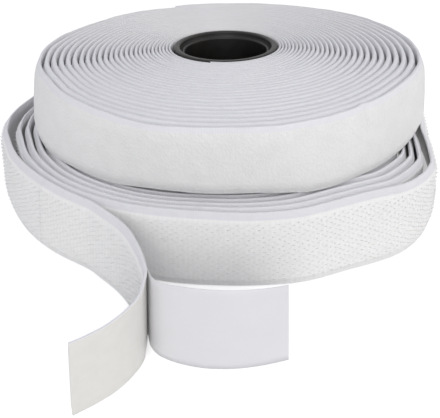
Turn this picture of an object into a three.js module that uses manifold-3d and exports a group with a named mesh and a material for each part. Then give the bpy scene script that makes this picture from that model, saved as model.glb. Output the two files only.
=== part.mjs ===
// Two rolls of 20 mm self-adhesive hook and loop tape, stacked, with the hook roll's end partly peeled.
// Units are millimetres, +Z is up and the floor is at z = 0. The two rolls share one upright axis.
import * as THREE from "three";
import Module from "manifold-3d";
import { mergeVertices } from "three/addons/utils/BufferGeometryUtils.js";

// Tape and liner
const tapeWidth = 20;
const tapeThickness = 1;
const linerInset = 0.2;
const linerThickness = 0.2;
const touchGap = 0.3;
const stackGap = 0.4;
const stepsPerTurn = 20;

// Moulded core, the same in both rolls
const coreRadius = 17.8;
const boreWall = 3.6;
const mouthLip = 2.2;
const ledgeDepth = 2.2;
const rimRound = 0.8;
const coreSides = 48;

// Vertices closer than this are one
const weldDistance = 1e-4;

// Loop roll, on top: all its turns show from above
const loopTurns = 22.3;
const loopFirstPitch = 1.9;
const loopLastPitch = 2.28;
const loopEndAngle = 110;
const loopLean = 2.4;
const loopOutOfRound = 0.3;
const loopSag = 2;
const loopSwell = 0.38;

// Hook roll, below: loose outer turns wound over the plain body of the tight inner ones
const hookTurns = 5.4;
const hookFirstPitch = 2.9;
const hookLastPitch = 3.1;
const hookEndAngle = 236;
const hookEndRadius = 79.7;
const hookLean = 4.2;
const hookOutOfRound = 2.2;
const lobeAngle = 188;
const lobeCount = 3;
const bodySides = 72;
const bodyBite = 0.6;
const linerStartTurn = 1;

// Free end of the hook tape, seen from above: the foot of the strip, from where it leaves the roll
const tailToPeel = [
  [5.3, -4.1],
  [8.6, -7.3],
  [11.8, -10.3],
  [15.1, -14],
  [18.3, -18.8],
  [21.1, -24],
  [22.5, -28.3],
];
const tailPastPeel = [
  [22.5, -32.6],
  [20.7, -37.2],
  [17.5, -41],
  [13.9, -43.7],
  [9.9, -46],
];
const stepsPerTailStretch = 3;
const tailLeanStart = 4.3;
const tailLeanPeel = 1.7;
const tailLeanEnd = 0.8;
const tailEndSlant = 2;
const tailCrease = 0.9;

// Peeled liner, seen from above: its foot, from the peel line to its free end
const flapFoot = [
  [0.6, -1.3],
  [2.5, -4.1],
  [5.3, -5.8],
  [8.6, -7],
  [12.4, -7.9],
  [16.7, -8.3],
  [20.6, -8.2],
  [24.7, -7.7],
  [28.2, -7],
  [31.4, -6.2],
];
const stepsPerFlapStretch = 2;
const flapLeanStart = 1.4;
const flapLeanEnd = 3.1;
const flapLeanShare = 0.3;
const peelGap = 0.5;

const fullTurn = 2 * Math.PI;
const radians = THREE.MathUtils.degToRad;

// A strip's cross-section: foot inner, foot outer, head outer, head inner.
function section(foot, head, low, high) {
  const [footInner, footOuter] = foot;
  const [headInner, headOuter] = head;
  return [
    new THREE.Vector3(footInner.x, footInner.y, low),
    new THREE.Vector3(footOuter.x, footOuter.y, low),
    new THREE.Vector3(headOuter.x, headOuter.y, high),
    new THREE.Vector3(headInner.x, headInner.y, high),
  ];
}

// One closed solid through a row of cross-sections, with a flat face at each end.
function stripSolid(sections) {
  const corners = sections[0].length;
  const index = [];
  for (let i = 0; i + 1 < sections.length; i += 1) {
    for (let corner = 0; corner < corners; corner += 1) {
      const a = i * corners + corner;
      const b = i * corners + ((corner + 1) % corners);
      index.push(a, a + corners, b + corners, a, b + corners, b);
    }
  }
  const last = (sections.length - 1) * corners;
  for (let corner = 1; corner + 1 < corners; corner += 1) {
    index.push(0, corner, corner + 1);
    index.push(last, last + corner + 1, last + corner);
  }
  const position = sections.flat().flatMap((point) => point.toArray());
  const geometry = new THREE.BufferGeometry();
  geometry.setAttribute("position", new THREE.Float32BufferAttribute(position, 3));
  geometry.setIndex(index);
  return geometry;
}

// A winding's law. Its pitch grows evenly, and its lean, lobes, sag and swell grow with the turns so far.
class Winding {
  constructor(shape) {
    Object.assign(this, shape);
    this.startAngle = radians(this.endAngle) - this.turns * fullTurn;
  }

  // How far the base line has moved outward after some turns.
  growth(turns) {
    const quickening = (this.lastPitch - this.firstPitch) / (2 * this.turns);
    return this.firstPitch * turns + quickening * turns * turns;
  }

  // The point some turns along, at an inset outward from the base line, at the foot (0) or head (1).
  place(turns, inset, headShare) {
    const angle = this.startAngle + turns * fullTurn;
    const loose = turns / this.turns;
    const lobe = this.outOfRound * Math.cos(lobeCount * (angle - radians(lobeAngle)));
    const slack = loose * (lobe - headShare * this.lean);
    const radius = this.startRadius + this.growth(turns) + inset + slack;
    return new THREE.Vector2(radius * Math.cos(angle), radius * Math.sin(angle) - loose * this.sag);
  }

  // The outset of the tape after some turns, which the swell thickens towards the end.
  tapeOutset(turns) {
    return tapeOutset + (this.swell * turns) / this.turns;
  }

  // The cross-sections of one layer between two insets, given per turn, from one turn to the end.
  layer(inner, outerAt, low, high, fromTurn) {
    const steps = Math.round((this.turns - fromTurn) * stepsPerTurn);
    return Array.from({ length: steps + 1 }, (unused, i) => {
      const turns = this.turns - i / stepsPerTurn;
      const foot = [this.place(turns, inner, 0), this.place(turns, outerAt(turns), 0)];
      const head = [this.place(turns, inner, 1), this.place(turns, outerAt(turns), 1)];
      return section(foot, head, low, high);
    }).reverse();
  }

  // The wound tape from its start.
  tape(low) {
    return this.layer(tapeInset, (turns) => this.tapeOutset(turns), low, low + tapeWidth, 0);
  }

  // The liner wound under the tape, from one turn on.
  liner(low, fromTurn) {
    const [foot, head] = [low + linerInset, low + tapeWidth - linerInset];
    return this.layer(0, () => linerThickness, foot, head, fromTurn);
  }

  // The least gap between one turn's tape and what has an inset in the next turn.
  leastGap(inner) {
    const count = Math.floor((this.turns - 1) * stepsPerTurn);
    const chordShare = Math.cos(Math.PI / stepsPerTurn);
    const gaps = Array.from({ length: count }, (unused, i) => {
      const turns = this.turns - 1 - i / stepsPerTurn;
      const across = (headShare) =>
        this.place(turns + 1, inner, headShare).distanceTo(
          this.place(turns, this.tapeOutset(turns), headShare),
        );
      return Math.min(across(0), across(1)) * chordShare;
    });
    return Math.min(...gaps);
  }
}

// From the base line outward a turn is the liner, a small gap and the tape.
const tapeInset = linerThickness + touchGap;
const tapeOutset = tapeInset + tapeThickness;
const loopLow = tapeWidth + stackGap;

const loopWinding = new Winding({
  turns: loopTurns,
  firstPitch: loopFirstPitch,
  lastPitch: loopLastPitch,
  endAngle: loopEndAngle,
  lean: loopLean,
  outOfRound: loopOutOfRound,
  sag: loopSag,
  swell: loopSwell,
  startRadius: coreRadius + touchGap,
});

const hookGrowth = ((hookFirstPitch + hookLastPitch) / 2) * hookTurns;
const hookWinding = new Winding({
  turns: hookTurns,
  firstPitch: hookFirstPitch,
  lastPitch: hookLastPitch,
  endAngle: hookEndAngle,
  lean: hookLean,
  outOfRound: hookOutOfRound,
  sag: 0,
  swell: 0,
  startRadius: hookEndRadius - tapeOutset - hookGrowth,
});

for (const [name, winding] of [["loop", loopWinding], ["hook", hookWinding]]) {
  const selfGap = winding.leastGap(tapeInset).toFixed(2);
  const linerRoom = winding.leastGap(0).toFixed(2);
  console.log(`${name} tape: least gap to itself ${selfGap} mm, to the next turn's liner ${linerRoom} mm`);
}

// Core: a tube with rounded rims and a step inside each mouth, down to the spindle bore.
function coreSolid(low) {
  const high = low + tapeWidth;
  const boreRadius = coreRadius - boreWall;
  const mouthRadius = coreRadius - mouthLip;
  const profile = [
    [boreRadius, low + ledgeDepth],
    [mouthRadius, low + ledgeDepth],
    [mouthRadius, low],
    [coreRadius - rimRound, low],
    [coreRadius, low + rimRound],
    [coreRadius, high - rimRound],
    [coreRadius - rimRound, high],
    [mouthRadius, high],
    [mouthRadius, high - ledgeDepth],
    [boreRadius, high - ledgeDepth],
    [boreRadius, low + ledgeDepth],
  ];
  const points = profile.map(([radius, height]) => new THREE.Vector2(radius, height));
  return new THREE.LatheGeometry(points, coreSides).rotateX(Math.PI / 2);
}

// Plain body of the tight inner turns of the hook roll, as a thick ring.
function bodySolid() {
  const inner = coreRadius + touchGap;
  const outer = hookWinding.startRadius + tapeInset + bodyBite;
  const profile = [
    [inner, 0],
    [outer, 0],
    [outer, tapeWidth],
    [inner, tapeWidth],
    [inner, 0],
  ];
  const points = profile.map(([radius, height]) => new THREE.Vector2(radius, height));
  return new THREE.LatheGeometry(points, bodySides).rotateX(Math.PI / 2);
}

// Joins two closed geometries into one solid.
const wasm = await Module();
wasm.setup();

function solidOf(geometry) {
  const bare = new THREE.BufferGeometry();
  bare.setAttribute("position", geometry.getAttribute("position"));
  bare.setIndex(geometry.index);
  const merged = mergeVertices(bare, weldDistance);
  const vertProperties = merged.attributes.position.array;
  const triVerts = new Uint32Array(merged.index.array);
  return new wasm.Manifold(new wasm.Mesh({ numProp: 3, vertProperties, triVerts }));
}

function joined(first, second) {
  const mesh = solidOf(first).add(solidOf(second)).getMesh();
  const geometry = new THREE.BufferGeometry();
  geometry.setAttribute("position", new THREE.Float32BufferAttribute(mesh.vertProperties, 3));
  geometry.setIndex([...mesh.triVerts]);
  return geometry;
}

// A curve over the floor that a strip follows, from a start and steps from a base point.
function route(start, base, places, stepsEach) {
  const points = [start, ...places.map(([x, y]) => new THREE.Vector2(base.x + x, base.y + y))];
  const lifted = points.map((point) => new THREE.Vector3(point.x, point.y, 0));
  const curve = new THREE.CatmullRomCurve3(lifted, false, "centripetal");
  const steps = places.length * stepsEach;
  return Array.from({ length: steps + 1 }, (unused, i) => {
    const point = curve.getPoint(i / steps);
    const along = curve.getTangent(i / steps);
    return {
      share: i / steps,
      foot: new THREE.Vector2(point.x, point.y),
      along: new THREE.Vector2(along.x, along.y),
      left: new THREE.Vector2(-along.y, along.x),
    };
  });
}

// The cross-sections of a strip on a route: two offsets to the left, and how the head leans and slants.
function stripSections(stations, right, left, low, high, leanAt, slantAt) {
  return stations.map((station) => {
    const shift = station.left.clone().multiplyScalar(leanAt(station.share));
    shift.addScaledVector(station.along, -slantAt(station.share));
    const edge = (offset) => station.foot.clone().addScaledVector(station.left, offset);
    const foot = [edge(left), edge(right)];
    const head = foot.map((point) => point.clone().add(shift));
    return section(foot, head, low, high);
  });
}

// Where the wound tape ends, and the free tail's route on from there.
const halfTape = tapeThickness / 2;
const halfLiner = linerThickness / 2;
const roll = hookWinding;
const woundEnd = roll.place(roll.turns, tapeInset + halfTape, 0);
const beforeEnd = roll.place(roll.turns - 1 / stepsPerTurn, tapeInset + halfTape, 0);
const endDirection = woundEnd.clone().sub(beforeEnd).normalize();
const tailStart = woundEnd.clone().addScaledVector(endDirection, tailCrease);
const tailRoute = route(tailStart, woundEnd, [...tailToPeel, ...tailPastPeel], stepsPerTailStretch);
const peelStep = tailToPeel.length * stepsPerTailStretch;
const peelShare = peelStep / (tailRoute.length - 1);

function tailLean(share) {
  const toPeel = THREE.MathUtils.smoothstep(share, 0, peelShare);
  const toEnd = THREE.MathUtils.smoothstep(share, peelShare, 1);
  return tailLeanStart + (tailLeanPeel - tailLeanStart) * toPeel + (tailLeanEnd - tailLeanPeel) * toEnd;
}
const tailSlant = (share) => tailEndSlant * THREE.MathUtils.smoothstep(share, peelShare, 1);

// The liner still on the tail lies on its left, roll side, and stops short of the peel line.
const linerRight = halfTape + touchGap;
const linerLeft = linerRight + linerThickness;
const linerRun = tailRoute.slice(0, peelStep);

// The peeled liner starts at the peel line.
const peel = tailRoute[peelStep];
const peelFoot = peel.foot.clone().addScaledVector(peel.left, halfTape + peelGap + halfLiner);
const flapRoute = route(peelFoot, peelFoot, flapFoot, stepsPerFlapStretch);
const flapLean = (share) =>
  flapLeanStart + (flapLeanEnd - flapLeanStart) * THREE.MathUtils.smoothstep(share, 0, flapLeanShare);

// Materials
const paint = (color, roughness) => new THREE.MeshStandardMaterial({ color, roughness });
const woven = () => paint(0xe6e6e8, 0.95);
const released = () => paint(0xdfe1ea, 0.35);
const moulded = () => paint(0x17161a, 0.45);

const root = new THREE.Group();
function addPiece(name, geometry, material) {
  const mesh = new THREE.Mesh(geometry, material);
  mesh.name = name;
  root.add(mesh);
}

const linerLow = linerInset;
const linerHigh = tapeWidth - linerInset;
const noSlant = () => 0;

addPiece("hook_core", coreSolid(0), moulded());
addPiece("hook_tape", joined(bodySolid(), stripSolid(roll.tape(0))), woven());
addPiece("hook_liner", stripSolid(roll.liner(0, linerStartTurn)), released());
addPiece(
  "hook_tape_tail",
  stripSolid(stripSections(tailRoute, -halfTape, halfTape, 0, tapeWidth, tailLean, tailSlant)),
  woven(),
);
addPiece(
  "tail_liner",
  stripSolid(stripSections(linerRun, linerRight, linerLeft, linerLow, linerHigh, tailLean, noSlant)),
  released(),
);
addPiece(
  "liner_flap",
  stripSolid(
    stripSections(flapRoute, -halfLiner, halfLiner, linerLow, linerHigh, flapLean, noSlant),
  ),
  released(),
);
addPiece("loop_core", coreSolid(loopLow), moulded());
addPiece("loop_tape", stripSolid(loopWinding.tape(loopLow)), woven());
addPiece("loop_liner", stripSolid(loopWinding.liner(loopLow, 0)), released());

// The origin is on the floor, under the middle of the whole part's outline.
const outline = new THREE.Box3().setFromObject(root);
const middle = outline.getCenter(new THREE.Vector3());
root.position.set(-middle.x, -middle.y, 0);
const size = outline.getSize(new THREE.Vector3());
const inFrame = (point) => [point.x - middle.x, point.y - middle.y].map((value) => value.toFixed(2));
console.log("size, mm:", size.toArray().map((value) => value.toFixed(2)).join(" x "));
console.log("roll axis:", inFrame(new THREE.Vector2()).join(", "));
console.log("tail crease:", inFrame(woundEnd.clone().lerp(tailStart, 0.5)).join(", "));
console.log("peel line:", inFrame(peelFoot).join(", "));

export default root;
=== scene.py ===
"""Two stacked rolls of self-adhesive hook and loop tape, with the lower roll's end partly peeled.

The upper roll is loop tape and the lower one hook tape. Each is wound, together with its release
liner, on a black moulded core. Shapes are worked out in millimetres about the upright axis that the
rolls share, with the floor at z = 0, and become metres in the part's own frame when a mesh is made.
"""
import logging
import math
from dataclasses import dataclass, field, fields, replace
from enum import Enum, IntEnum
from typing import Any, ClassVar

import bpy
import numpy as np
from mathutils import Matrix, Vector


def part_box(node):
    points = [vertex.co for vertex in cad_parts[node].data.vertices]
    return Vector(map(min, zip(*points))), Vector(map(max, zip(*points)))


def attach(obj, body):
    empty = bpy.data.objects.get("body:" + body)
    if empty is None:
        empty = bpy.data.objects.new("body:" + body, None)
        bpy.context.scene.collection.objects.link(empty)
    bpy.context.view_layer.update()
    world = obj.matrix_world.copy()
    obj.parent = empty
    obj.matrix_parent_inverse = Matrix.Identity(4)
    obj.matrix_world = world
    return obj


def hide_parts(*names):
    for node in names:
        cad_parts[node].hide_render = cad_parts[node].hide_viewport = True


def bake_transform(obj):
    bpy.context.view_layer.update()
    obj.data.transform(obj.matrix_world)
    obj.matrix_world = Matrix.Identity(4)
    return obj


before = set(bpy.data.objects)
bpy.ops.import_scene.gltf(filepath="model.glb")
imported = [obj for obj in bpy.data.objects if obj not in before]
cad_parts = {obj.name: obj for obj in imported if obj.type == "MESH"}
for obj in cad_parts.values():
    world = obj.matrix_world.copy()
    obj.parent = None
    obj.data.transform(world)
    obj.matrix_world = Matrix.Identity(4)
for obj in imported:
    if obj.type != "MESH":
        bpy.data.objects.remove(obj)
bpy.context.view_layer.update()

Array = np.ndarray
Knots = tuple[tuple[float, float], ...]
log = logging.getLogger("tape_rolls")

MM = 0.001
FULL_TURN = 2.0 * math.pi
STRIP_UV = "StripMillimetres"


class Body(Enum):
    """The bodies of the frame that the pieces ride on."""

    HOOK_ROLL = "hook_roll"
    TAPE_TAIL = "tape_tail"
    PEELED_LINER = "peeled_liner"
    LOOP_ROLL = "loop_roll"


class Slot(Enum):
    """The record's material slots."""

    CORE = "core_plastic"
    HOOK = "hook_tape"
    LOOP = "loop_tape"
    LINER = "release_liner"


class Band(IntEnum):
    """The bands round a tape's cross-section, in the order of its material slots."""

    ADHESIVE = 0
    SELVEDGE = 1
    FACE = 2


def smooth(values: Array, start: float, end: float) -> Array:
    """Eases from 0 at start to 1 at end, as 3 x squared less 2 x cubed.

    Args:
        values: where the share is wanted.
        start: the value at which it leaves 0.
        end: the value at which it reaches 1.

    Returns:
        The share at each value.
    """
    x = np.clip((np.asarray(values, float) - start) / (end - start), 0.0, 1.0)
    return x * x * (3.0 - 2.0 * x)


def through(values: Array, knots: Knots) -> Array:
    """A smooth curve through given places: cubic pieces whose slopes are central differences.

    Between two knots of the same height the curve stays level.

    Args:
        values: where the curve is wanted; outside the knots it keeps the end's value.
        knots: pairs of place and value, in rising order.

    Returns:
        The curve at each value.
    """
    places, heights = np.array(knots, float).T
    slopes = np.gradient(heights, places)
    level = np.diff(heights) == 0.0
    slopes[:-1][level] = slopes[1:][level] = 0.0
    i = np.clip(np.searchsorted(places, values) - 1, 0, len(places) - 2)
    step = places[i + 1] - places[i]
    u = np.clip((values - places[i]) / step, 0.0, 1.0)
    rise = u * u * (3.0 - 2.0 * u)
    bend = step * u * (1.0 - u)
    return (
        heights[i] * (1.0 - rise)
        + heights[i + 1] * rise
        + bend * ((1.0 - u) * slopes[i] - u * slopes[i + 1])
    )


def ripple(values: Array, wavelength: float, seed: float) -> Array:
    """An even, unrepeating ripple between -1 and 1: three sines of unrelated wavelengths.

    Args:
        values: where the ripple is wanted.
        wavelength: the longest of the three wavelengths.
        seed: shifts the three sines, so that two ripples differ.

    Returns:
        The ripple at each value.
    """
    turn = FULL_TURN * np.asarray(values, float) / wavelength
    return (
        0.5 * np.sin(turn + 1.7 * seed)
        + 0.3 * np.sin(1.618 * turn + 3.1 * seed)
        + 0.2 * np.sin(2.414 * turn + 5.3 * seed)
    )


def box_mm(node: str) -> tuple[Vector, Vector]:
    """The lowest and highest corners of a node of the frame, in millimetres."""
    low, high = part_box(node)
    return low / MM, high / MM


CORE_LOW, CORE_HIGH = box_mm("loop_core")
ROLL_AXIS = (CORE_LOW + CORE_HIGH) / 2
TAPE_WIDTH = CORE_HIGH.z - CORE_LOW.z
CORE_RADIUS = (CORE_HIGH.x - CORE_LOW.x) / 2
LOOP_LOW = CORE_LOW.z
HOOK_LOW = box_mm("hook_core")[0].z


def to_frame(points: Array) -> Array:
    """Points in millimetres about the roll axis, as metres in the part's frame."""
    return (np.asarray(points, float) + (ROLL_AXIS.x, ROLL_AXIS.y, 0.0)) * MM


def frame_point(x: float, y: float, z: float = 0.0) -> tuple[float, float, float]:
    """One place in millimetres about the roll axis, as a point in the part's frame."""
    return tuple(to_frame(np.array([x, y, z])))


# Finishes


def linear(hex_colour: str) -> tuple[float, float, float, float]:
    """The linear colour of an sRGB hex value such as #F0F0F0."""
    shares = [int(hex_colour[i : i + 2], 16) / 255.0 for i in (1, 3, 5)]
    bent = [s / 12.92 if s <= 0.04045 else ((s + 0.055) / 1.055) ** 2.4 for s in shares]
    return (*bent, 1.0)


def scale_for(size_mm: float) -> float:
    """The texture scale at which one cell of a pattern is this many millimetres."""
    return 1.0 / (size_mm * MM)


def add(
    tree: bpy.types.NodeTree,
    kind: str,
    settings: dict[str, Any] | None = None,
    inputs: dict[Any, Any] | None = None,
) -> bpy.types.Node:
    """Adds a node to a tree, with its settings, its input values and its links.

    Args:
        tree: the node tree.
        kind: the node's type name.
        settings: attributes of the node.
        inputs: per input name or number, a value, or the output socket to link to it.

    Returns:
        The node.
    """
    node = tree.nodes.new(kind)
    for name, value in (settings or {}).items():
        setattr(node, name, value)
    for name, value in (inputs or {}).items():
        if isinstance(value, bpy.types.NodeSocket):
            tree.links.new(value, node.inputs[name])
        else:
            node.inputs[name].default_value = value
    return node


@dataclass(frozen=True)
class Finish:
    """A finish: a material with a principled shader, whose pattern each kind of finish adds."""

    name: str
    colour: str
    dark: str
    roughness: float
    ior: float = 1.5
    translucent: float = 0.0
    scatter_mm: float = 1.2

    def material(self) -> bpy.types.Material:
        """The finish's material, made once."""
        made = bpy.data.materials.get(self.name)
        if made:
            return made
        made = bpy.data.materials.new(self.name)
        made.use_nodes = True
        tree = made.node_tree
        tree.nodes.clear()
        shader = add(
            tree,
            "ShaderNodeBsdfPrincipled",
            inputs={
                "Roughness": self.roughness,
                "IOR": self.ior,
                "Base Color": linear(self.colour),
                "Subsurface Weight": self.translucent,
                "Subsurface Radius": (1.0, 1.0, 1.0),
                "Subsurface Scale": self.scatter_mm * MM,
            },
        )
        add(tree, "ShaderNodeOutputMaterial", inputs={"Surface": shader.outputs[0]})
        self.dress(tree, shader)
        made.diffuse_color = linear(self.colour)
        return made

    def dress(self, tree: bpy.types.NodeTree, shader: bpy.types.Node) -> None:
        """Adds the pattern of this kind of finish to the shader."""
        raise NotImplementedError

    def tint(self, tree: bpy.types.NodeTree, shader: bpy.types.Node, share: Any) -> None:
        """Mixes the dark colour into the finish's own by a share from 0 to 1."""
        mix = add(
            tree,
            "ShaderNodeMix",
            {"data_type": "RGBA"},
            {0: share, 6: linear(self.dark), 7: linear(self.colour)},
        )
        tree.links.new(mix.outputs[2], shader.inputs["Base Color"])

    @staticmethod
    def raise_by(
        tree: bpy.types.NodeTree, shader: bpy.types.Node, height: Any, depth_mm: float
    ) -> None:
        """Lets a pattern's height, from 0 to 1, stand out by a depth in millimetres."""
        bump = add(tree, "ShaderNodeBump", inputs={"Distance": depth_mm * MM, "Height": height})
        tree.links.new(bump.outputs[0], shader.inputs["Normal"])


@dataclass(frozen=True)
class NappedLoopPile(Finish):
    """Brushed polyamide loops: matt and cloudy, with tufts and a faint bloom at grazing angles."""

    tuft_mm: float = 0.7
    cloud_mm: float = 5.0
    depth_mm: float = 0.16

    def dress(self, tree: bpy.types.NodeTree, shader: bpy.types.Node) -> None:
        """Tufts are cells, drawn a little larger than real so that they show, under soft clouds."""
        place = add(tree, "ShaderNodeTexCoord").outputs["Object"]
        tufts = add(
            tree,
            "ShaderNodeTexVoronoi",
            {"feature": "SMOOTH_F1"},
            {"Vector": place, "Scale": scale_for(self.tuft_mm), "Smoothness": 0.6},
        )
        nap = add(
            tree,
            "ShaderNodeTexNoise",
            inputs={"Vector": place, "Scale": scale_for(self.tuft_mm / 2), "Detail": 3.0},
        )
        clouds = add(
            tree,
            "ShaderNodeTexNoise",
            inputs={"Vector": place, "Scale": scale_for(self.cloud_mm), "Detail": 4.0},
        )
        fluff = add(
            tree,
            "ShaderNodeMath",
            {"operation": "MULTIPLY_ADD"},
            {0: nap.outputs[0], 1: 0.8, 2: tufts.outputs["Distance"]},
        )
        shade = add(
            tree,
            "ShaderNodeMath",
            {"operation": "MULTIPLY_ADD", "use_clamp": True},
            {0: nap.outputs[0], 1: 0.7, 2: clouds.outputs[0]},
        )
        self.tint(tree, shader, shade.outputs[0])
        self.raise_by(tree, shader, fluff.outputs[0], self.depth_mm)
        shader.inputs["Sheen Weight"].default_value = 0.2
        shader.inputs["Sheen Roughness"].default_value = 0.6


@dataclass(frozen=True)
class WovenBand(Finish):
    """Plain-woven polyamide: fine ribs along the tape, crossed by its picks, slightly lustrous."""

    rib_mm: float = 0.5
    pick_mm: float = 0.65
    depth_mm: float = 0.035

    def dress(self, tree: bpy.types.NodeTree, shader: bpy.types.Node) -> None:
        """Ribs are a sine across the tape, and picks a sine along it, with a little unevenness."""
        uv = add(tree, "ShaderNodeUVMap", {"uv_map": STRIP_UV}).outputs[0]
        apart = add(tree, "ShaderNodeSeparateXYZ", inputs={0: uv})
        waves = []
        for axis, spacing in ((1, self.rib_mm), (0, self.pick_mm)):
            turn = add(
                tree,
                "ShaderNodeMath",
                {"operation": "MULTIPLY"},
                {0: apart.outputs[axis], 1: FULL_TURN / spacing},
            )
            waves.append(
                add(tree, "ShaderNodeMath", {"operation": "SINE"}, {0: turn.outputs[0]}).outputs[0]
            )
        both = add(
            tree,
            "ShaderNodeMath",
            {"operation": "MULTIPLY_ADD"},
            {0: waves[0], 1: 0.6, 2: waves[1]},
        )
        height = add(
            tree,
            "ShaderNodeMath",
            {"operation": "MULTIPLY_ADD"},
            {0: both.outputs[0], 1: 0.3, 2: 0.5},
        )
        uneven = add(
            tree,
            "ShaderNodeTexNoise",
            inputs={
                "Vector": add(tree, "ShaderNodeTexCoord").outputs["Object"],
                "Scale": scale_for(2.2),
                "Detail": 3.0,
            },
        )
        # The colour darkens where the weave is lower: this is painted shade in the troughs of ribs
        # and picks, with random uneven tone from the noise on top.
        shade = add(
            tree,
            "ShaderNodeMath",
            {"operation": "MULTIPLY_ADD", "use_clamp": True},
            {0: height.outputs[0], 1: 0.5, 2: uneven.outputs[0]},
        )
        self.tint(tree, shader, shade.outputs[0])
        self.raise_by(tree, shader, height.outputs[0], self.depth_mm)


@dataclass(frozen=True)
class DrawnNylon(Finish):
    """Drawn nylon monofilament, cut and heat set into hooks: clear-edged and slightly glossy."""

    def dress(self, tree: bpy.types.NodeTree, shader: bpy.types.Node) -> None:
        """Each hook differs a little in shade, as the cut filaments catch the light differently."""
        place = add(tree, "ShaderNodeTexCoord").outputs["Object"]
        noise = add(
            tree,
            "ShaderNodeTexNoise",
            inputs={"Vector": place, "Scale": scale_for(0.9), "Detail": 1.0},
        )
        self.tint(tree, shader, noise.outputs[0])


@dataclass(frozen=True)
class AdhesiveCoat(Finish):
    """Hot-melt adhesive, coated on the tape's back: warm, faintly glossy and softly mottled."""

    mottle_mm: float = 2.6
    rib_mm: float = 1.3

    def dress(self, tree: bpy.types.NodeTree, shader: bpy.types.Node) -> None:
        """The coat's mottling is noise, and the woven ground's ribs show through it faintly."""
        place = add(tree, "ShaderNodeTexCoord").outputs["Object"]
        mottle = add(
            tree,
            "ShaderNodeTexNoise",
            inputs={"Vector": place, "Scale": scale_for(self.mottle_mm), "Detail": 5.0},
        )
        uv = add(tree, "ShaderNodeUVMap", {"uv_map": STRIP_UV}).outputs[0]
        apart = add(tree, "ShaderNodeSeparateXYZ", inputs={0: uv})
        turn = add(
            tree,
            "ShaderNodeMath",
            {"operation": "MULTIPLY"},
            {0: apart.outputs[0], 1: FULL_TURN / self.rib_mm},
        )
        ribs = add(tree, "ShaderNodeMath", {"operation": "SINE"}, {0: turn.outputs[0]})
        height = add(
            tree,
            "ShaderNodeMath",
            {"operation": "MULTIPLY_ADD"},
            {0: ribs.outputs[0], 1: 0.12, 2: mottle.outputs[0]},
        )
        self.tint(tree, shader, mottle.outputs[0])
        self.raise_by(tree, shader, height.outputs[0], 0.05)
        shader.inputs["Coat Weight"].default_value = 0.15
        shader.inputs["Coat Roughness"].default_value = 0.3


@dataclass(frozen=True)
class SiliconisedPaper(Finish):
    """Glassine release paper with a silicone coat: cool white, smooth and softly glossy."""

    cloud_mm: float = 9.0
    fibre_mm: float = 0.5

    def dress(self, tree: bpy.types.NodeTree, shader: bpy.types.Node) -> None:
        """Faint clouds tint the sheet, and paper fibres with long, low waves bend its gloss."""
        place = add(tree, "ShaderNodeTexCoord").outputs["Object"]
        clouds = add(
            tree,
            "ShaderNodeTexNoise",
            inputs={"Vector": place, "Scale": scale_for(self.cloud_mm), "Detail": 3.0},
        )
        fibres = add(
            tree,
            "ShaderNodeTexNoise",
            inputs={"Vector": place, "Scale": scale_for(self.fibre_mm), "Detail": 2.0},
        )
        height = add(
            tree,
            "ShaderNodeMath",
            {"operation": "MULTIPLY_ADD"},
            {0: fibres.outputs[0], 1: 0.05, 2: clouds.outputs[0]},
        )
        self.tint(tree, shader, clouds.outputs[0])
        self.raise_by(tree, shader, height.outputs[0], 0.08)


@dataclass(frozen=True)
class MouldedPolystyrene(Finish):
    """Injection-moulded black polystyrene: satin, with fine texture, dust and rubbed high spots."""

    grain_mm: float = 0.25
    scuff_mm: float = 3.0

    def dress(self, tree: bpy.types.NodeTree, shader: bpy.types.Node) -> None:
        """A fine grain breaks the gloss, and larger scuffs change the roughness and the black."""
        place = add(tree, "ShaderNodeTexCoord").outputs["Object"]
        grain = add(
            tree,
            "ShaderNodeTexNoise",
            inputs={"Vector": place, "Scale": scale_for(self.grain_mm), "Detail": 2.0},
        )
        scuffs = add(
            tree,
            "ShaderNodeTexNoise",
            inputs={"Vector": place, "Scale": scale_for(self.scuff_mm), "Detail": 6.0},
        )
        rough = add(
            tree,
            "ShaderNodeMapRange",
            inputs={0: scuffs.outputs[0], 3: self.roughness - 0.08, 4: self.roughness + 0.12},
        )
        tree.links.new(rough.outputs[0], shader.inputs["Roughness"])
        self.tint(tree, shader, scuffs.outputs[0])
        self.raise_by(tree, shader, grain.outputs[0], 0.02)
        shader.inputs["Specular IOR Level"].default_value = 0.3


@dataclass(frozen=True)
class StudioFloor(Finish):
    """Matt white studio sheet, whose lit parts meet the white background for the camera."""

    lift: float = 0.45

    def dress(self, tree: bpy.types.NodeTree, shader: bpy.types.Node) -> None:
        """A faint grain, and a little white that only the camera and reflections see."""
        place = add(tree, "ShaderNodeTexCoord").outputs["Object"]
        grain = add(
            tree,
            "ShaderNodeTexNoise",
            inputs={"Vector": place, "Scale": scale_for(20.0), "Detail": 2.0},
        )
        self.tint(tree, shader, grain.outputs[0])
        seen = seen_directly(tree)
        glow = add(tree, "ShaderNodeMath", {"operation": "MULTIPLY"}, {0: seen, 1: self.lift})
        tree.links.new(glow.outputs[0], shader.inputs["Emission Strength"])
        shader.inputs["Emission Color"].default_value = linear("#FFFFFF")


def seen_directly(tree: bpy.types.NodeTree) -> bpy.types.NodeSocket:
    """1 for rays from the camera, for reflected rays and for rays through glass, and else 0."""
    path = add(tree, "ShaderNodeLightPath")
    first = add(
        tree,
        "ShaderNodeMath",
        {"operation": "MAXIMUM"},
        {0: path.outputs["Is Camera Ray"], 1: path.outputs["Is Glossy Ray"]},
    )
    both = add(
        tree,
        "ShaderNodeMath",
        {"operation": "MAXIMUM"},
        {0: first.outputs[0], 1: path.outputs["Is Transmission Ray"]},
    )
    return both.outputs[0]


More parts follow.
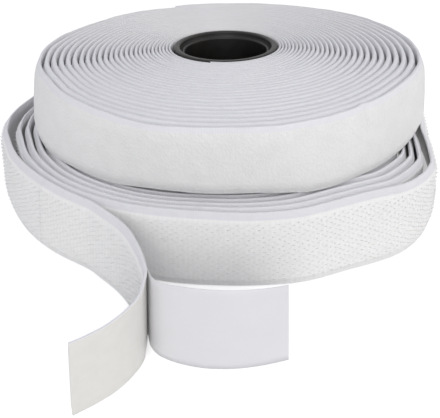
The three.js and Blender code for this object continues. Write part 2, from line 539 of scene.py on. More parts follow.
@dataclass(frozen=True)
class Finishes:
    """Every finish of the two rolls."""

    pile: Finish = NappedLoopPile("napped_loop_pile", "#EBEBEA", "#DFDFDE", 0.95, translucent=0.4)
    # In the two woven finishes the darker colour is painted shade in the weave's troughs, mixed
    # with random uneven tone.
    selvedge: Finish = WovenBand("woven_selvedge", "#E9E9ED", "#E2E2E7", 0.8, translucent=0.4)
    hook_ground: Finish = WovenBand(
        "woven_hook_ground", "#F4F4F3", "#EBEBEA", 0.85, translucent=0.4, pick_mm=1.3
    )
    hooks: Finish = DrawnNylon(
        "drawn_nylon_hooks", "#F3F3F2", "#EDEDEC", 0.6, 1.53, translucent=0.7
    )
    adhesive: Finish = AdhesiveCoat("hot_melt_adhesive", "#E6E5E1", "#DDDCD7", 0.42, 1.48)
    liner: Finish = SiliconisedPaper("siliconised_release_paper", "#E4E4E7", "#DEDEE1", 0.34, 1.45)
    core: Finish = MouldedPolystyrene("moulded_polystyrene", "#161413", "#0E0D0C", 0.42, 1.59)
    floor: Finish = StudioFloor("studio_floor", "#F0F0F0", "#ECECEC", 0.9)


FINISHES = Finishes()


# Meshes


def make_piece(
    name: str,
    points: Array,
    faces: list[Array],
    finishes: list[Finish],
    bands: Array | None = None,
    uv: Array | None = None,
    flat: Array | None = None,
) -> bpy.types.Object:
    """Makes a piece at the origin from points in millimetres about the roll axis.

    Args:
        name: the piece's name.
        points: the vertices, one row each.
        faces: arrays of vertex numbers, one array per group of faces with as many corners.
        finishes: the finishes of its material slots.
        bands: per face, the number of its material slot.
        uv: per vertex, its place along and across the strip in millimetres.
        flat: per face, whether it is shaded flat.

    Returns:
        The object.
    """
    mesh = bpy.data.meshes.new(name)
    groups = [np.atleast_2d(group).astype(np.int32) for group in faces]
    corners = np.concatenate([group.ravel() for group in groups])
    sizes = np.concatenate([np.full(len(group), group.shape[1]) for group in groups])
    starts = np.concatenate([[0], np.cumsum(sizes)[:-1]])
    mesh.vertices.add(len(points))
    mesh.vertices.foreach_set("co", to_frame(points).astype(np.float32).ravel())
    mesh.loops.add(len(corners))
    mesh.loops.foreach_set("vertex_index", corners)
    mesh.polygons.add(len(sizes))
    mesh.polygons.foreach_set("loop_start", starts.astype(np.int32))
    if bands is not None:
        mesh.polygons.foreach_set("material_index", bands.astype(np.int32))
    if uv is not None:
        layer = mesh.uv_layers.new(name=STRIP_UV)
        layer.data.foreach_set("uv", uv[corners].astype(np.float32).ravel())
    mesh.update(calc_edges=True)
    is_flat = np.zeros(len(sizes), bool) if flat is None else flat
    mesh.polygons.foreach_set("use_smooth", ~is_flat)
    mesh.update()
    for finish in finishes:
        mesh.materials.append(finish.material())
    piece = bpy.data.objects.new(name, mesh)
    bpy.context.scene.collection.objects.link(piece)
    return piece


def ring_faces(stations: int, ring: int, closed: bool = False) -> Array:
    """Quads between rings of points, numbered station by station.

    Args:
        stations: how many rings there are.
        ring: how many points a ring has; its last joins its first.
        closed: whether the last ring joins the first.

    Returns:
        One row of four vertex numbers per quad, which turn round the ring before they go along.
    """
    i = np.arange(stations if closed else stations - 1)[:, None]
    j = np.arange(ring)[None, :]
    after, beside = (i + 1) % stations, (j + 1) % ring
    quads = np.stack(
        [i * ring + j, i * ring + beside, after * ring + beside, after * ring + j], axis=-1
    )
    return quads.reshape(-1, 4)


def near_ends(values: Array, share: float) -> Array:
    """The rows of an array, with one more row close to each end.

    Args:
        values: the rows.
        share: how far the new rows lie from the end rows, as a share of the way to the next.

    Returns:
        The rows with the two new ones among them.
    """
    start = values[:1] + share * (values[1:2] - values[:1])
    end = values[-1:] + share * (values[-2:-1] - values[-1:])
    return np.concatenate([values[:1], start, values[1:-1], end, values[-1:]])


@dataclass
class Spine:
    """The run of a strip: its adhesive face's foot from above, and how it bends over its width.

    A point at a height h and an offset d outward stands at the foot, moved outward by d and by the
    bow at h. The bow is the belly times 4 x (1 - x), less the lean times x, less the curl eased in
    over the top twelfth, where x is h as a share of the width. The slant moves a point back along
    the strip by its share of the height, and the lift raises the foot and fades out upwards.
    """

    foot: Array
    along: Array
    length: Array
    low: float
    lean: Array
    curl: Array
    belly: Array
    slant: Array
    lift: Array
    rise: Array
    swell: Array

    CURL: ClassVar[tuple[float, float]] = (0.86, 1.06)

    @classmethod
    def follow(cls, foot: Array, low: float, **bends: Array) -> "Spine":
        """A spine along a row of places, with its direction and length worked out from them.

        Args:
            foot: the places seen from above.
            low: the height of the strip's lower edge.
            **bends: the bends that aren't zero, and the swell if it isn't one.

        Returns:
            The spine.
        """
        steps = np.linalg.norm(np.diff(foot, axis=0), axis=1)
        length = np.concatenate([[0.0], np.cumsum(steps)])
        along = np.gradient(foot, length, axis=0)
        along /= np.linalg.norm(along, axis=1)[:, None]
        zero = np.zeros(len(foot))
        values = {
            f.name: zero for f in fields(cls) if f.name not in ("foot", "along", "length", "low")
        }
        values["swell"] = zero + 1.0
        values.update(bends)
        return cls(foot=foot, along=along, length=length, low=low, **values)

    def at(self, lengths: Array) -> "Spine":
        """The same run at other lengths along it, each value taken between its neighbours."""
        found = {}
        for f in fields(self):
            value = getattr(self, f.name)
            if f.name == "low":
                found[f.name] = value
            elif value.ndim == 1:
                found[f.name] = np.interp(lengths, self.length, value)
            else:
                sides = [np.interp(lengths, self.length, side) for side in value.T]
                found[f.name] = np.stack(sides, axis=1)
        return replace(self, **found)

    def part(self, chosen: slice) -> "Spine":
        """The same run between two stations."""
        found = {f.name: getattr(self, f.name)[chosen] for f in fields(self) if f.name != "low"}
        return replace(self, **found)

    @property
    def outward(self) -> Array:
        """The direction that the tape's face looks, to the right of the way it runs."""
        return np.stack([self.along[:, 1], -self.along[:, 0]], axis=1)

    def place(self, heights: Array, outs: Array) -> Array:
        """The points at heights above the foot and offsets outward, per station.

        Args:
            heights: one per point, or one row per station.
            outs: one per point, or one row per station.

        Returns:
            An array of stations by points by three.
        """
        count = len(self.length)
        heights = np.broadcast_to(heights, (count, np.shape(heights)[-1]))
        outs = np.broadcast_to(outs, heights.shape)
        x = np.clip(heights / TAPE_WIDTH, 0.0, 1.0)
        bow = (
            self.belly[:, None] * 4.0 * x * (1.0 - x)
            - self.lean[:, None] * x
            - self.curl[:, None] * smooth(x, *self.CURL)
        )
        away = (outs + bow)[..., None] * self.outward[:, None, :]
        back = (self.slant[:, None] * x)[..., None] * self.along[:, None, :]
        plan = self.foot[:, None, :] + away - back
        z = self.low + heights + self.lift[:, None] * (1.0 - x) + self.rise[:, None]
        return np.concatenate([plan, z[..., None]], axis=-1)


@dataclass(frozen=True)
class Section:
    """A strip's cross-section: offsets outward, heights and the band of each side that follows."""

    outs: Array
    heights: Array
    bands: Array
    fixed: bool = False

    def sweep(
        self, name: str, spine: Spine, finishes: list[Finish], wobble: Array | None = None
    ) -> bpy.types.Object:
        """Carries the section along a spine, with a flat face at each end.

        The renderer blends the end face's direction into the smooth sides as far as the next ring,
        so a ring is added close to each end.

        Args:
            name: the piece's name.
            spine: the run to follow.
            finishes: the finishes of the bands.
            wobble: an extra offset outward, per station and point.

        Returns:
            The closed piece.
        """
        outs = self.outs[None, :] * (1.0 if self.fixed else spine.swell[:, None])
        points = spine.place(self.heights, outs if wobble is None else outs + wobble)
        points, length = (near_ends(values, 0.01) for values in (points, spine.length))
        stations, ring = len(length), len(self.outs)
        quads = ring_faces(stations, ring)
        first = np.arange(ring)[::-1]
        last = (stations - 1) * ring + np.arange(ring)
        bands = np.concatenate([np.tile(self.bands, stations - 1), [self.bands[-1]] * 2])
        flat = np.zeros(len(bands), bool)
        flat[-2:] = True
        uv = np.stack(np.broadcast_arrays(length[:, None], self.heights[None, :]), axis=-1)
        return make_piece(
            name,
            points.reshape(-1, 3),
            [quads, first, last],
            finishes,
            bands,
            uv.reshape(-1, 2),
            flat,
        )


@dataclass(frozen=True)
class Tape:
    """The make-up of one tape, in millimetres across its thickness and width."""

    ground: float
    pile: float
    selvedge: float
    shoulder: float
    edge: float = 0.14

    def section(self) -> Section:
        """The section: up the adhesive face, over the top edge, down the face, under the foot."""
        width, e, g = TAPE_WIDTH, self.edge, self.ground
        adhesive = [(0.0, width * share) for share in (0.2, 0.4, 0.6, 0.8, 0.9)]
        top = [
            (0.0, width - e),
            (0.3 * e, width - 0.3 * e),
            (e, width),
            (g - e, width),
            (g - 0.3 * e, width - 0.3 * e),
            (g, width - e),
        ]
        upper = [
            (g, width - self.selvedge),
            (g + 0.4 * self.pile, width - self.selvedge - 0.2 * self.shoulder),
            (g + 0.8 * self.pile, width - self.selvedge - 0.55 * self.shoulder),
            (g + self.pile, width - self.selvedge - self.shoulder),
        ]
        face = [(g + self.pile, width * share) for share in (0.8, 0.7, 0.6, 0.5, 0.4, 0.3, 0.2)]
        lower = [(out, width - height) for out, height in reversed(upper)]
        foot = [(out, width - height) for out, height in reversed(top)]
        ring = adhesive + top + upper + face + lower + foot
        outs, heights = np.array(ring).T
        bands = [Band.ADHESIVE] * (len(adhesive) + 1) + [Band.SELVEDGE] * len(top)
        bands += [Band.FACE] * (len(upper) + len(face) + len(lower) - 1)
        bands += [Band.SELVEDGE] * (len(foot) - 1) + [Band.ADHESIVE]
        return Section(outs, heights, np.array(bands, int))


@dataclass(frozen=True)
class Liner:
    """The release liner: a thin sheet on the adhesive face, a little narrower than the tape."""

    thickness: float = 0.14
    inset: float = 0.15
    clear: float = 0.03

    def section(self, rows: int = 8) -> Section:
        """The section: up its roll side and down its other side, with narrow round edges."""
        near, far = -self.clear, -self.clear - self.thickness
        round_off = self.thickness / 4
        up = np.linspace(self.inset + round_off, TAPE_WIDTH - self.inset - round_off, rows)
        crown = (near + far) / 2
        outs = np.concatenate([np.full(rows, far), [crown], np.full(rows, near), [crown]])
        heights = np.concatenate([up, [TAPE_WIDTH - self.inset], up[::-1], [self.inset]])
        return Section(outs, heights, np.zeros(len(outs), int), fixed=True)


@dataclass(frozen=True)
class WindingLaw:
    """A winding whose pitch grows evenly from core to end, turning anticlockwise outward."""

    turns: float
    first_radius: float
    first_pitch: float
    last_pitch: float
    end_degrees: float

    def radius(self, turn: Array) -> Array:
        """First radius, plus the first pitch times the turns, plus half its growth squared."""
        growth = (self.last_pitch - self.first_pitch) / (2.0 * self.turns)
        return self.first_radius + self.first_pitch * turn + growth * turn * turn

    def pitch(self, turn: Array) -> Array:
        """The distance from one turn to the next."""
        return self.first_pitch + (self.last_pitch - self.first_pitch) * turn / self.turns

    def degrees(self, turn: Array) -> Array:
        """The angle about the axis, which reaches its end value at the last turn's end."""
        return self.end_degrees + 360.0 * (turn - self.turns)

    def seen_turn(self, turn: Array) -> Array:
        """The outermost turn's place that lies at the same angle."""
        after = np.asarray(turn, float) - (self.turns - 1.0)
        return self.turns - 1.0 + np.where(after >= 1.0, 1.0, np.mod(after, 1.0))

    def seen_degrees(self, turn: Array) -> Array:
        """The outermost turn's angle at the same place, running on from where it starts."""
        return self.end_degrees + 360.0 * (self.seen_turn(turn) - self.turns + 1.0)

    def turn_at(self, degrees: float) -> float:
        """The place along the winding that has this angle, counted up to its end value."""
        return self.turns + (degrees - self.end_degrees) / 360.0

    def stations(self, coarse: int, fine: int, fine_turns: float) -> Array:
        """Turns from 0 to the end, with more steps per turn over the last few turns."""
        split = self.turns - fine_turns
        inner = np.linspace(0.0, split, int(split * coarse), endpoint=False)
        outer = np.linspace(split, self.turns, int(fine_turns * fine) + 1)
        return np.concatenate([inner, outer])


@dataclass(frozen=True)
class OuterTurn:
    """How the outermost turn stands off its law: radii of its outer edges against angles.

    The angles run on from where the turn starts. The turns under it give way too, less and less
    inward: fully where it stands inside its law, and by a share where it stands outside. Where they
    stand apart from it, they are shifted by a further amount.
    """

    foot: Knots
    rim: Knots
    apart: Knots
    give_turns: float
    outward_share: float

    def shift(self, law: WindingLaw, turn: Array, edge: Knots, law_edge: Array) -> Array:
        """The shift of an edge of every station.

        Args:
            law: the winding's law.
            turn: the stations.
            edge: the outermost turn's knots for this edge.
            law_edge: the radius that the law gives this edge on the outermost turn, per station.

        Returns:
            The shift outward, per station.
        """
        seen = law.seen_degrees(turn)
        off = through(seen, edge) - law_edge
        starts = law.turns - 1.0
        window = smooth(seen, law.end_degrees, law.end_degrees + 20.0)
        window *= 1.0 - smooth(seen, law.end_degrees + 340.0, law.end_degrees + 360.0)
        under = smooth(turn, starts - self.give_turns, starts) * window
        off_under = np.where(off < 0.0, off, self.outward_share * off) + through(seen, self.apart)
        return np.where(turn < starts, under * off_under, off * smooth(turn, starts, starts + 0.06))


def ring_plan(radius: Array, degrees: Array) -> Array:
    """Places seen from above, at radii and angles about the roll axis."""
    angle = np.radians(degrees)
    return np.stack([radius * np.cos(angle), radius * np.sin(angle)], axis=1)


# Cores


@dataclass
class CoreMoulding:
    """The moulded core of a roll: a flanged tube with a recess and a bead in each mouth."""

    name: str
    replaces_node: str
    body: Body
    low: float
    bore: float = 14.1
    mouth: float = 15.7
    ledge: float = 2.3
    bead: float = 0.55
    rim_round: float = 0.7
    sides: int = 192

    def half_profile(self) -> list[tuple[float, float]]:
        """Radius and depth below the top, from the outside's middle over the rim to the bore."""
        arc = np.linspace(0.0, math.pi / 2, 6)
        r = self.rim_round
        outer = [(CORE_RADIUS - r + r * math.cos(a), r - r * math.sin(a)) for a in arc]
        inner = [(self.mouth + r - r * math.sin(a), r - r * math.cos(a)) for a in arc]
        bead_middle = self.bore + self.bead
        beads = np.linspace(0.0, math.pi, 9)
        bead = [
            (bead_middle + self.bead * math.cos(a), self.ledge - 1.3 * self.bead * math.sin(a))
            for a in beads
        ]
        groove = [(self.mouth, self.ledge - 0.1), (self.mouth - 0.15, self.ledge)]
        return outer + inner + groove + bead

    def build(self) -> bpy.types.Object:
        """Turns the profile round the axis: each profile point is a circle of its radius."""
        top = self.half_profile()
        middle = TAPE_WIDTH / 2
        upper = np.array([(radius, TAPE_WIDTH - depth) for radius, depth in top])
        lower = np.array([(radius, depth) for radius, depth in reversed(top)])
        bore = np.array([(self.bore, middle)])
        outside = np.array([(CORE_RADIUS, middle)])
        profile = np.concatenate([outside, upper, bore, lower])
        angle = np.linspace(0.0, FULL_TURN, self.sides, endpoint=False)[:, None]
        radius, height = profile.T
        points = np.stack(
            np.broadcast_arrays(
                radius * np.cos(angle), radius * np.sin(angle), self.low + height + 0.0 * angle
            ),
            axis=-1,
        )
        quads = ring_faces(self.sides, len(profile), closed=True)[:, ::-1]
        piece = make_piece(self.name, points.reshape(-1, 3), [quads], [FINISHES.core])
        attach(piece, self.body.value)
        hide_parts(self.replaces_node)
        return piece


# Loop roll


@dataclass
class LoopRoll:
    """The upper roll: soft loop tape, tightly wound near the core and looser outward."""

    law: WindingLaw = WindingLaw(26.6, 18.1, 1.05, 2.45, 110.0)
    tape: Tape = Tape(ground=0.75, pile=1.0, selvedge=0.7, shoulder=3.0)
    liner: Liner = Liner()
    lean: float = 2.4
    sag: float = 2.0
    outer: OuterTurn = OuterTurn(
        foot=(
            (110, 61.3), (130, 63.0), (160, 64.6), (194, 65.7), (215, 66.0), (230, 65.1),
            (248, 65.2), (270, 65.6), (293, 66.1), (306, 65.5), (321, 65.4), (342, 66.6),
            (365, 66.4), (400, 65.0), (440, 63.9), (470, 63.7),
        ),
        rim=(
            (110, 59.4), (118, 60.7), (127, 61.1), (138, 60.9), (147, 60.7), (156, 61.0),
            (165, 61.7), (173, 62.1), (180, 62.3), (187, 62.1), (194, 61.8), (202, 61.3),
            (211, 60.9), (221, 61.6), (231, 62.4), (239, 63.2), (246, 64.4), (254, 65.5),
            (265, 65.2), (280, 65.5), (290, 64.7), (300, 63.8), (310, 63.0), (320, 62.5),
            (334, 63.2), (344, 63.6), (354, 63.9), (381, 64.0), (392, 64.1), (401, 63.8),
            (410, 63.0), (422, 62.0), (432, 61.1), (443, 60.8), (456, 61.4), (463, 61.7),
            (470, 61.4),
        ),
        apart=((110, 0.0), (470, 0.0)),
        give_turns=8.0,
        outward_share=0.75,
    )
    belly: float = 0.4
    raised: Knots = ((240, 0.0), (249, 1.3), (262, 1.5), (278, 1.4), (288, 0.0))
    fluff: Knots = (
        (0, 0.6), (70, 0.3), (120, 0.3), (165, 0.7), (190, 0.7), (225, 1.0), (300, 1.0),
        (345, 0.7), (360, 0.6),
    )
    fluff_reach: float = 0.9
    fluff_depth: float = 0.85
    dent_degrees: float = -57.0
    dent: float = 0.7

    def stations(self) -> Array:
        """The winding's stations, closer together over the outermost turn."""
        return self.law.stations(84, 330, 1.1)

    def fluffing(self, section: Section, spine: Spine, turn: Array) -> Array:
        """How far each point of each section stands out by the fluff at the rim's outer side.

        The share falls with the distance from where the pile starts, as the exponential of minus
        its square. The fluff follows the angle, waxes and wanes along the tape, and is small on the
        outermost turn.

        Args:
            section: the tape's section.
            spine: the winding.
            turn: its stations.

        Returns:
            The extra offset outward, per station and point.
        """
        below = (TAPE_WIDTH - section.heights - self.tape.selvedge) / self.fluff_reach
        share = np.exp(-(below**2)) * smooth(section.outs, 0.1, self.tape.ground)
        around = through(np.mod(self.law.degrees(turn), 360.0), self.fluff)
        around *= 0.85 + 0.25 * ripple(spine.length, 37.0, 6.0)
        around *= 1.0 - 0.75 * smooth(turn, self.law.turns - 1.1, self.law.turns - 0.9)
        around *= spine.swell * smooth(turn, 0.0, 3.0)
        return self.fluff_depth * around[:, None] * share[None, :]

    def spine(self) -> Spine:
        """The whole winding. Its outermost turn follows its own edges, and its foot is raised."""
        law, outer = self.law, self.outer
        turn = self.stations()
        degrees = law.degrees(turn)
        loose = turn / law.turns
        seat = self.liner.thickness + self.liner.clear
        sag = -self.sag * np.sin(np.radians(degrees))
        edge = law.radius(law.seen_turn(turn)) + seat + sag + self.tape.ground
        foot_shift = outer.shift(law, turn, outer.foot, edge)
        rim_shift = outer.shift(law, turn, outer.rim, edge - self.lean)
        radius = law.radius(turn) + seat + loose * sag + foot_shift
        foot = ring_plan(radius, degrees)
        length = np.cumsum(np.concatenate([[0.0], np.linalg.norm(np.diff(foot, axis=0), axis=1)]))
        uneven = ripple(length, 61.0, 1.0) + 0.6 * ripple(length, 17.0, 2.0)
        last = smooth(turn, law.turns - 1.0, law.turns - 0.93)
        return Spine.follow(
            foot,
            LOOP_LOW,
            lean=self.lean * loose
            + foot_shift
            - rim_shift
            + 0.08 * ripple(length, 23.0, 4.0) * smooth(turn, 0.3, 5.0)
            + last * self.dent * np.exp(-(((degrees - self.dent_degrees) / 1.3) ** 2)),
            belly=self.belly * loose,
            lift=last * through(law.seen_degrees(turn), self.raised),
            rise=0.13 * uneven * smooth(turn, 0.3, 3.0),
            swell=law.pitch(turn) / law.last_pitch,
        )

    def build(self) -> list[bpy.types.Object]:
        """Builds the wound tape and its liner."""
        spine = self.spine()
        section = self.tape.section()
        tape = section.sweep(
            "loop_tape_wound",
            spine,
            [FINISHES.adhesive, FINISHES.selvedge, FINISHES.pile],
            self.fluffing(section, spine, self.stations()),
        )
        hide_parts("loop_tape")
        liner = self.liner.section(5).sweep("loop_liner_wound", spine, [FINISHES.liner])
        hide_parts("loop_liner")
        for piece in (tape, liner):
            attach(piece, Body.LOOP_ROLL.value)
        log.info("loop tape: %.2f m", spine.length[-1] * MM)
        return [tape, liner]


# Hook roll


@dataclass
class HookRoll:
    """The lower roll: stiff hook tape, loose over its outer turns, whose end is peeled open."""

    law: WindingLaw = WindingLaw(21.9, 18.1, 2.45, 3.1, 236.0)
    tape: Tape = Tape(ground=0.62, pile=0.4, selvedge=1.4, shoulder=0.5)
    liner: Liner = Liner()
    loose_turns: float = 5.4
    lean: float = 3.0
    curl: float = 1.5
    lobe: float = 2.2
    lobe_degrees: float = 188.0
    outer: OuterTurn = OuterTurn(
        foot=(
            (236, 74.8), (255, 74.9), (267, 74.8), (276, 75.5), (284, 76.5), (294, 76.8),
            (300, 78.0), (306, 79.2), (313, 79.1), (320, 77.7), (327, 76.2), (335, 75.1),
            (345, 73.6), (355, 73.4), (370, 74.9), (400, 76.2), (450, 77.4), (500, 79.0),
            (535, 80.4), (548, 80.3), (560, 79.4), (568, 78.8), (583, 78.6), (590, 78.3),
            (596, 77.9),
        ),
        rim=(
            (236, 70.6), (255, 69.7), (263, 69.5), (272, 70.4), (284, 71.4), (292, 71.2),
            (298, 71.8), (303, 73.2), (307, 74.8), (312, 75.6), (317, 75.4), (321, 74.5),
            (325, 72.3), (329, 70.4), (333, 68.7), (337, 67.2), (343, 66.5), (352, 66.8),
            (360, 68.4), (370, 70.2), (390, 71.3), (410, 71.8), (450, 72.2), (500, 72.0),
            (528, 72.0), (536, 73.0), (543, 74.9), (550, 75.9), (556, 75.9), (562, 75.2),
            (571, 74.8), (579, 74.2), (587, 73.8), (596, 73.7),
        ),
        apart=(
            (236, 0.0), (300, 0.0), (313, -1.0), (325, -1.0), (340, -1.4), (360, -1.0),
            (380, 0.0), (460, 0.0), (480, -1.5), (505, -3.6), (528, -4.0), (540, -3.0),
            (552, -1.8), (566, -1.0), (580, 0.0), (596, 0.0),
        ),
        give_turns=12.0,
        outward_share=0.35,
    )
    start_degrees: float = 226.0
    tail_step: float = 0.7
    tail_foot: tuple[tuple[float, float], ...] = (
        (-38.0, -68.3), (-34.7, -71.5), (-31.5, -74.5), (-28.2, -78.2), (-25.0, -83.0),
        (-22.2, -88.2), (-20.8, -92.5), (-20.8, -96.8), (-22.6, -101.4), (-25.8, -105.3),
        (-29.5, -108.1), (-33.5, -110.5),
    )
    flap_foot: tuple[tuple[float, float], ...] = (
        (-19.3, -94.2), (-17.4, -96.6), (-14.6, -98.3), (-11.3, -99.5), (-7.5, -100.4),
        (-3.2, -100.8), (0.7, -100.7), (4.8, -100.2), (8.3, -99.5), (11.5, -98.7),
    )
    tail_crease: tuple[tuple[float, float], ...] = ((-46.2, -61.8), (-39.6, -67.2))
    peel_crease: tuple[tuple[float, float], ...] = ((-20.9, -90.6), (-17.6, -96.4))
    hooked_turns: float = 1.12
    peel_length: float = field(default=0.0, init=False)

    @property
    def full_lean(self) -> float:
        """How far the top edge leans in from the foot on the loose turns, with the curl."""
        return self.lean + self.curl * float(smooth(1.0, *Spine.CURL))

    def stations(self) -> Array:
        """The winding's stations, closer together over the loose turns."""
        return self.law.stations(64, 180, 5.5)

    def winding(self) -> Spine:
        """The wound turns. Lobes, lean and curl grow over the loose outer turns."""
        law = self.law
        turn = self.stations()
        degrees = law.degrees(turn)
        loose = np.clip((turn - law.turns + self.loose_turns) / self.loose_turns, 0.0, 1.0)
        lobes = self.lobe * np.cos(3.0 * np.radians(degrees - self.lobe_degrees))
        seat = self.liner.thickness + self.liner.clear
        edge = law.radius(law.seen_turn(turn)) + seat + lobes + self.tape.ground
        foot_shift = self.outer.shift(law, turn, self.outer.foot, edge)
        rim_shift = self.outer.shift(law, turn, self.outer.rim, edge - self.full_lean)
        foot = ring_plan(law.radius(turn) + seat + loose * lobes + foot_shift, degrees)
        length = np.cumsum(np.concatenate([[0.0], np.linalg.norm(np.diff(foot, axis=0), axis=1)]))
        return Spine.follow(
            foot,
            HOOK_LOW,
            lean=self.lean * loose + foot_shift - rim_shift,
            curl=self.curl * loose,
            rise=0.1 * ripple(length, 71.0, 3.0) * loose,
        )

    def whole(self) -> Spine:
        """The wound turns and the free end as one run, so that they join without a step."""
        wound = self.winding()
        bend = wound.foot[[-6, -3, -1]]
        control = np.concatenate([bend, np.array(self.tail_foot)])
        steps = np.linalg.norm(np.diff(control, axis=0), axis=1)
        place = np.concatenate([[0.0], np.cumsum(steps)])
        start = place[2]
        fine = np.arange(start + self.tail_step, place[-1], self.tail_step)
        free = np.stack([through(fine, tuple(zip(place, side))) for side in control.T], axis=1)
        heading = np.gradient(free, axis=0)
        heading /= np.linalg.norm(heading, axis=1)[:, None]
        inward = np.stack([-heading[:, 1], heading[:, 0]], axis=1)
        free = free + self.tape.ground * smooth(fine - start, 0.0, 8.0)[:, None] * inward
        foot = np.concatenate([wound.foot, free])
        peel = float(place[2 + 1 + 6] - start)
        run = fine - start
        end = float(run[-1])
        lean = through(run, ((0.0, self.lean), (0.55 * peel, 2.6), (peel, 1.4), (end, 0.8)))
        curl = through(run, ((0.0, self.curl), (0.5 * peel, 1.2), (peel, 0.3), (end, 0.0)))
        joined = {
            name: np.concatenate([getattr(wound, name), extra])
            for name, extra in (
                ("lean", lean),
                ("curl", curl),
                ("slant", 2.3 * smooth(run, peel, end)),
                ("rise", 0.0 * run),
            )
        }
        self.peel_length = float(wound.length[-1]) + peel
        return Spine.follow(foot, HOOK_LOW, **joined)

    def build(self) -> list[bpy.types.Object]:
        """Builds the wound tape and liner, the free tape end and the liner still on it."""
        whole = self.whole()
        start_turn = self.law.turn_at(self.start_degrees)
        turns = self.stations()
        cut = int(np.searchsorted(turns, start_turn))
        wound, free = whole.part(slice(0, cut + 1)), whole.part(slice(cut, None))
        on_tail = free.at(np.arange(free.length[0], self.peel_length - 2.5, self.tail_step))
        tape_finishes = [FINISHES.adhesive, FINISHES.selvedge, FINISHES.hook_ground]
        tape = self.tape.section().sweep("hook_tape_wound", wound, tape_finishes)
        liner = self.liner.section(5).sweep("hook_liner_wound", wound, [FINISHES.liner])
        tail = self.tape.section().sweep("hook_tape_free_end", free, tape_finishes)
        tail_liner = self.liner.section().sweep("liner_on_free_end", on_tail, [FINISHES.liner])
        for piece, node, slot in (
            (tape, "hook_tape", Slot.HOOK),
            (liner, "hook_liner", Slot.LINER),
            (tail, "hook_tape_tail", Slot.HOOK),
            (tail_liner, "tail_liner", Slot.LINER),
        ):
            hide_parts(node)
        for piece in (tape, liner):
            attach(piece, Body.HOOK_ROLL.value)
        for piece in (tail, tail_liner):
            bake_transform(piece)
        hooks = HookField()
        hooked_from = self.length_at(wound, turns, self.hooked_turns)
        outer = wound.at(np.arange(hooked_from, wound.length[-1], hooks.column))
        on_roll = hooks.build("hooks_on_roll", outer, self.tape)
        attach(on_roll, Body.HOOK_ROLL.value)
        columns = np.arange(wound.length[-1] + 0.2, free.length[-1] - 0.5, hooks.column)
        on_end = hooks.build("hooks_on_free_end", free.at(columns), self.tape)
        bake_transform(on_end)
        flap = self.flap(free)
        return [tape, liner, tail, tail_liner, on_roll, on_end, flap]

    def length_at(self, wound: Spine, turns: Array, before: float) -> float:
        """The length along the tape this many turns before its wound end."""
        place = int(np.searchsorted(turns, self.law.turns - before))
        return float(wound.length[place])

    def flap(self, free: Spine) -> bpy.types.Object:
        """The peeled liner: it leaves the adhesive face at the peel line and swings right."""
        before = free.at(np.array([self.peel_length - 2.4, self.peel_length - 1.0]))
        beside = before.foot - (self.liner.clear + self.liner.thickness / 2) * before.outward
        control = np.concatenate([beside, np.array(self.flap_foot)])
        steps = np.linalg.norm(np.diff(control, axis=0), axis=1)
        place = np.concatenate([[0.0], np.cumsum(steps)])
        run = np.arange(0.0, place[-1], 0.6)
        foot = np.stack([through(run, tuple(zip(place, side))) for side in control.T], axis=1)
        end = float(run[-1])
        lean = through(run, ((0.0, 1.4), (6.0, 2.2), (12.0, 3.1), (end, 2.6)))
        spine = Spine.follow(foot, HOOK_LOW, lean=lean)
        piece = self.liner.section(12).sweep("peeled_liner_flap", spine, [FINISHES.liner])
        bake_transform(piece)
        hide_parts("liner_flap")
        log.info("%s: %.3f m", piece.name, end * MM)
        return piece


@dataclass(frozen=True)
class HookField:
    """Rows and columns of nylon hooks, which lean along the tape, each row against the next."""

    column: float = 1.3
    row: float = 1.35
    first_row: float = 2.0
    filament: float = 0.12
    path: tuple[tuple[float, float], ...] = (
        (0.0, -0.2), (0.02, 0.12), (0.1, 0.22), (0.26, 0.27), (0.46, 0.15),
    )

    def build(self, name: str, spine: Spine, tape: Tape) -> bpy.types.Object:
        """A hook at each row of each station, every other station half a row up.

        A hook is a bent four-sided filament, sunk into the woven ground at its foot.

        Args:
            name: the piece's name.
            spine: the run, with one station per column.
            tape: the tape that carries the hooks.

        Returns:
            All the hooks as one piece.
        """
        top_row = TAPE_WIDTH - self.first_row - self.row / 2
        rows = np.arange(self.first_row, top_row, self.row)
        columns = len(spine.length)
        column, row = np.meshgrid(np.arange(columns), np.arange(len(rows)), indexing="ij")
        heights = rows[row] + self.row / 2 * (column % 2)
        base = spine.place(heights, np.full(len(rows), tape.ground + tape.pile))
        side = np.where(row % 2 == 0, 1.0, -1.0)
        chance = np.sin(12.9898 * column + 78.233 * row) * 43758.5453
        chance -= np.floor(chance)
        tall = 0.92 + 0.16 * chance
        out = np.concatenate([spine.outward, np.zeros((columns, 1))], axis=1)[:, None, :]
        along = np.concatenate([spine.along, np.zeros((columns, 1))], axis=1)[:, None, :]
        up = np.array([0.0, 0.0, 1.0])
        lean = side[..., None] * along + 0.25 * (chance - 0.5)[..., None] * up
        shape = np.array(self.path)
        heading = np.gradient(shape, axis=0)
        heading /= np.linalg.norm(heading, axis=1)[:, None]
        rings = []
        for (a, o), (ha, ho) in zip(shape, heading):
            centre = base + a * lean + (o * tall)[..., None] * out
            across = ho * lean - ha * out
            quarter = [across, side[..., None] * up, -across, -side[..., None] * up]
            rings.append(np.stack([centre + self.filament * q for q in quarter], axis=-2))
        points = np.stack(rings, axis=2).reshape(-1, 3)
        count = columns * len(rows)
        ring, steps = 4, len(shape)
        one = ring_faces(steps, ring)
        shift = (np.arange(count) * ring * steps)[:, None, None]
        quads = (one[None] + shift).reshape(-1, 4)
        foot = (np.arange(ring)[::-1][None] + shift[:, :, 0]).reshape(-1, ring)
        tip = ((steps - 1) * ring + np.arange(ring)[None] + shift[:, :, 0]).reshape(-1, ring)
        piece = make_piece(name, points, [quads, foot, tip], [FINISHES.hooks])
        log.info("%s: %d hooks", name, count)
        return piece


# Studio


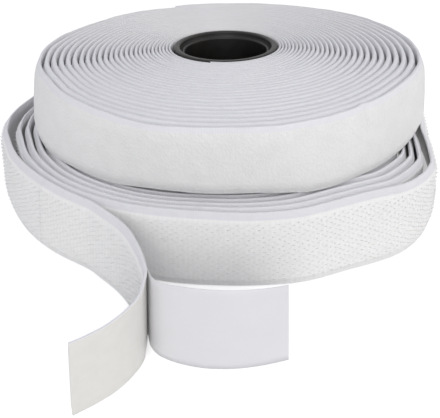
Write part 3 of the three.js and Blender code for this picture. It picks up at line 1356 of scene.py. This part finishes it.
@dataclass
class Studio:
    """The camera at the photograph's angle, the floor, the lamps and the white background."""

    picture: tuple[int, int] = (440, 418)
    focal_pixels: float = 519.0
    centre_pixel: tuple[float, float] = (220.0, 165.0)
    sensor: float = 36.0
    camera_place: tuple[float, float, float] = (-2.75, -175.2, 94.4)
    pitch_degrees: float = 30.2
    roll_degrees: float = -1.17
    floor_half: float = 3.0

    def camera(self) -> None:
        """Places the camera: it looks down by the pitch, and its picture is turned by the roll."""
        data = bpy.data.cameras.new("photo_camera")
        width, height = self.picture
        data.sensor_width = self.sensor
        data.lens = self.focal_pixels / width * self.sensor
        data.shift_x = (width / 2 - self.centre_pixel[0]) / width
        data.shift_y = (self.centre_pixel[1] - height / 2) / width
        data.clip_start, data.clip_end = 0.005, 20.0
        pitch, roll = math.radians(self.pitch_degrees), math.radians(self.roll_degrees)
        right = Vector((1.0, 0.0, 0.0))
        ahead = Vector((0.0, math.cos(pitch), -math.sin(pitch)))
        up = Vector((0.0, math.sin(pitch), math.cos(pitch)))
        turned_right = math.cos(roll) * right + math.sin(roll) * up
        turned_up = math.cos(roll) * up - math.sin(roll) * right
        camera = bpy.data.objects.new("photo_camera", data)
        columns = Matrix((turned_right, turned_up, -ahead)).transposed()
        camera.matrix_world = Matrix.Translation(frame_point(*self.camera_place)) @ columns.to_4x4()
        bpy.context.scene.collection.objects.link(camera)
        bpy.context.scene.camera = camera

    def floor(self) -> None:
        """A square white floor, a hair under the rolls."""
        half = self.floor_half
        points = [(-half, -half, 0.0), (half, -half, 0.0), (half, half, 0.0), (-half, half, 0.0)]
        mesh = bpy.data.meshes.new("studio_floor")
        mesh.from_pydata([(x, y, -0.0002) for x, y, _ in points], [], [(0, 1, 2, 3)])
        mesh.materials.append(FINISHES.floor.material())
        floor = bpy.data.objects.new("studio_floor", mesh)
        bpy.context.scene.collection.objects.link(floor)

    def lamp(
        self, name: str, place: tuple[float, float, float], size: float, power: float, colour: str
    ) -> None:
        """A square soft lamp in metres, aimed at the rolls."""
        data = bpy.data.lights.new(name, "AREA")
        data.size = size
        data.energy = power
        data.color = linear(colour)[:3]
        lamp = bpy.data.objects.new(name, data)
        target = Vector(frame_point(0.0, -20.0, 15.0))
        lamp.location = Vector(place)
        lamp.rotation_mode = "QUATERNION"
        lamp.rotation_quaternion = (target - lamp.location).to_track_quat("-Z", "Y")
        bpy.context.scene.collection.objects.link(lamp)

    def world(self) -> None:
        """An even cool light from all round, which the camera and reflections see as white."""
        world = bpy.data.worlds.new("studio_world")
        bpy.context.scene.world = world
        world.use_nodes = True
        tree = world.node_tree
        tree.nodes.clear()
        light = add(
            tree,
            "ShaderNodeBackground",
            inputs={"Color": linear("#F8F9FF"), "Strength": 0.6},
        )
        white = add(
            tree,
            "ShaderNodeBackground",
            inputs={"Color": linear("#FFFFFF"), "Strength": 1.0},
        )
        mix = add(
            tree,
            "ShaderNodeMixShader",
            inputs={0: seen_directly(tree), 1: light.outputs[0], 2: white.outputs[0]},
        )
        add(tree, "ShaderNodeOutputWorld", inputs={"Surface": mix.outputs[0]})

    def build(self) -> None:
        """Sets up the whole studio."""
        bpy.context.scene.view_settings.view_transform = "Standard"
        self.camera()
        self.floor()
        self.world()
        self.lamp("key_lamp", (0.0, -0.95, 0.6), 0.8, 4.4, "#FFFDFA")
        self.lamp("side_lamp", (1.0, -0.15, 0.35), 0.8, 1.8, "#FFFAF2")


def main() -> None:
    """Builds the studio and every piece in order, and reports each."""
    logging.basicConfig(level=logging.INFO, format="%(name)s: %(message)s")
    Studio().build()
    cores = (
        CoreMoulding("hook_core_moulding", "hook_core", Body.HOOK_ROLL, HOOK_LOW),
        CoreMoulding("loop_core_moulding", "loop_core", Body.LOOP_ROLL, LOOP_LOW),
    )
    made = [core.build() for core in cores]
    made += HookRoll().build()
    made += LoopRoll().build()
    for piece in made:
        log.info("%s: %d faces", piece.name, len(piece.data.polygons))


if __name__ == "__main__":
    main()
